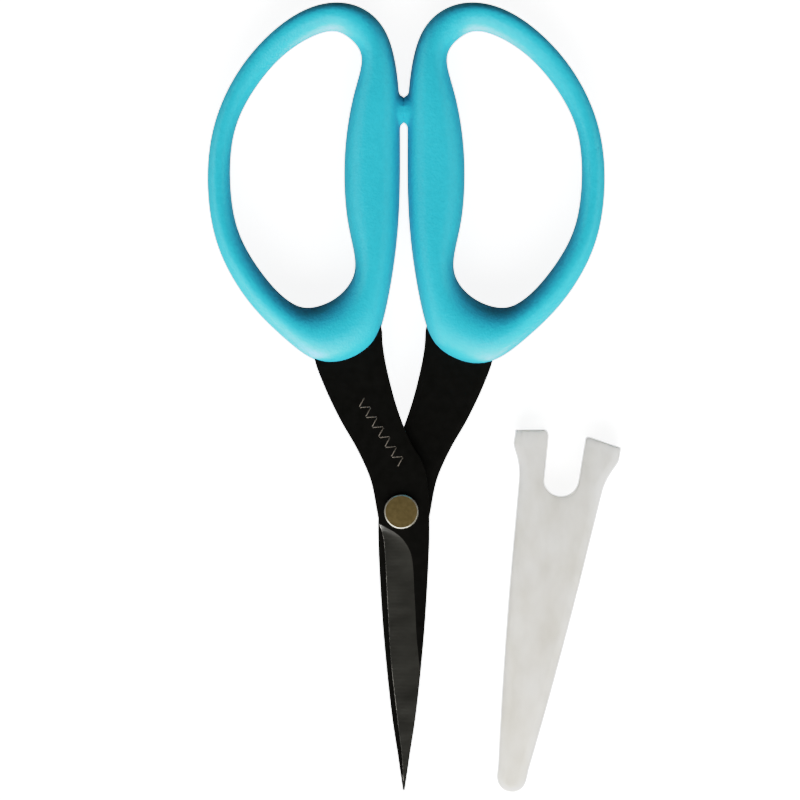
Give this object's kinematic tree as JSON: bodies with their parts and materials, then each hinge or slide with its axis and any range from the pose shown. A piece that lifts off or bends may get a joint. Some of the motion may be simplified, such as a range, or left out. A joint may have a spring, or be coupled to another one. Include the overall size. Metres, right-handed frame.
{
  "type": "thread snips",
  "caption": "Small sewing snips with soft closed finger bows and slim pointed coated blades on a screw pivot, with a slide-on translucent blade cover beside them.",
  "frame": {"origin": "on the pivot screw's axis, in the plane where the two blades meet", "axes": "+Y from the pivot towards the finger bows, -Y towards the tips, +X to the right seen from the front, +Z out of the table, towards the screw's head"},
  "size_m": [0.0666, 0.1274, 0.011],
  "materials": {
    "coated_steel": "satin black coating, dark ground bevels",
    "rigid_core": "plain moulded",
    "soft_grip": "soft-touch matte, light blue",
    "pivot_metal": "satin face, bright turned chamfer",
    "washer_polymer": "natural polymer",
    "spring_steel": "bright spring steel",
    "cover_plastic": "frosted translucent"
  },
  "bodies": {
    "right_half": {"back_blade": "coated_steel", "right_core": "rigid_core", "right_grip": "soft_grip"},
    "left_half": {"front_blade": "coated_steel", "left_core": "rigid_core", "left_grip": "soft_grip", "pivot_screw": "pivot_metal", "friction_washer": "washer_polymer", "spring_washer": "spring_steel", "pivot_nut": "pivot_metal"},
    "cover": {"blade_cover": "cover_plastic"}
  },
  "joints": [
    {"name": "blade_pivot", "type": "hinge", "parent": "right_half", "child": "left_half", "pos_m": [0, 0, 0], "axis": [0, 0, 1], "range_deg": [0, 70]},
    {"name": "cover_slide", "type": "slide", "parent": "right_half", "child": "cover", "axis": [-0.165, -0.9863, 0], "range_m": [0, 0.06]}
  ]
}
